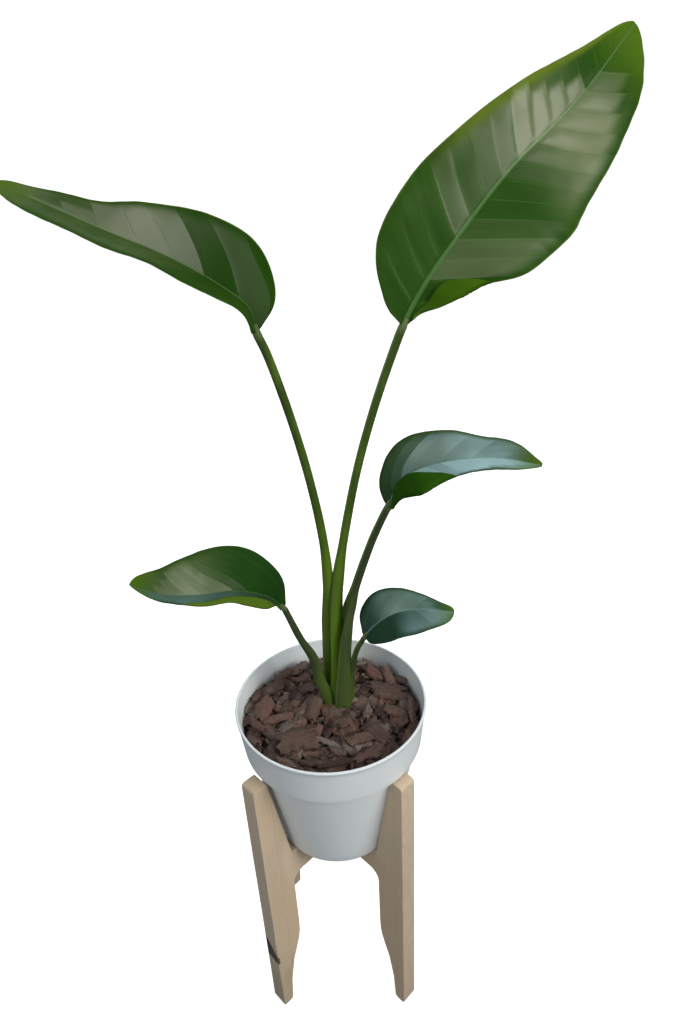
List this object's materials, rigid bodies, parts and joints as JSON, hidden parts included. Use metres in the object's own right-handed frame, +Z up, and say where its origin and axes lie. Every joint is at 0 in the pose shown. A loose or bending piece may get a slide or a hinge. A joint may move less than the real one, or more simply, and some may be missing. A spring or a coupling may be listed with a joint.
{
  "type": "potted bird of paradise plant",
  "caption": "Potted bird of paradise with paddle leaves on long stalks, bark mulch, a tapered pot and a crossed-board wooden stand.",
  "frame": {"origin": "on the floor, under the middle of the whole plant's box", "axes": "+Z up, +X to the right seen from the front, +Y away from the front"},
  "size_m": [0.5934, 0.2716, 1.1162],
  "materials": {
    "white_plastic": "satin moulded, cool white",
    "potting_soil": "dark, crumbly",
    "pine_bark": "rough, reddish brown chips",
    "pine_board": "bare planed pine, edge glued",
    "leaf_stalk": "smooth, waxy",
    "leaf_blade": "glossy, leathery, pale midrib"
  },
  "bodies": {
    "root": {"pot": "white_plastic", "potting_soil": "potting_soil", "bark_mulch": "pine_bark", "stand_board_lower": "pine_board", "stand_board_upper": "pine_board", "stalk_tall_right": "leaf_stalk", "stalk_tall_left": "leaf_stalk", "stalk_mid_right": "leaf_stalk", "stalk_low_left": "leaf_stalk", "stalk_low_right": "leaf_stalk", "blade_tall_right": "leaf_blade", "blade_tall_left": "leaf_blade", "blade_mid_right": "leaf_blade", "blade_low_left": "leaf_blade", "blade_low_right": "leaf_blade"}
  },
  "joints": []
}
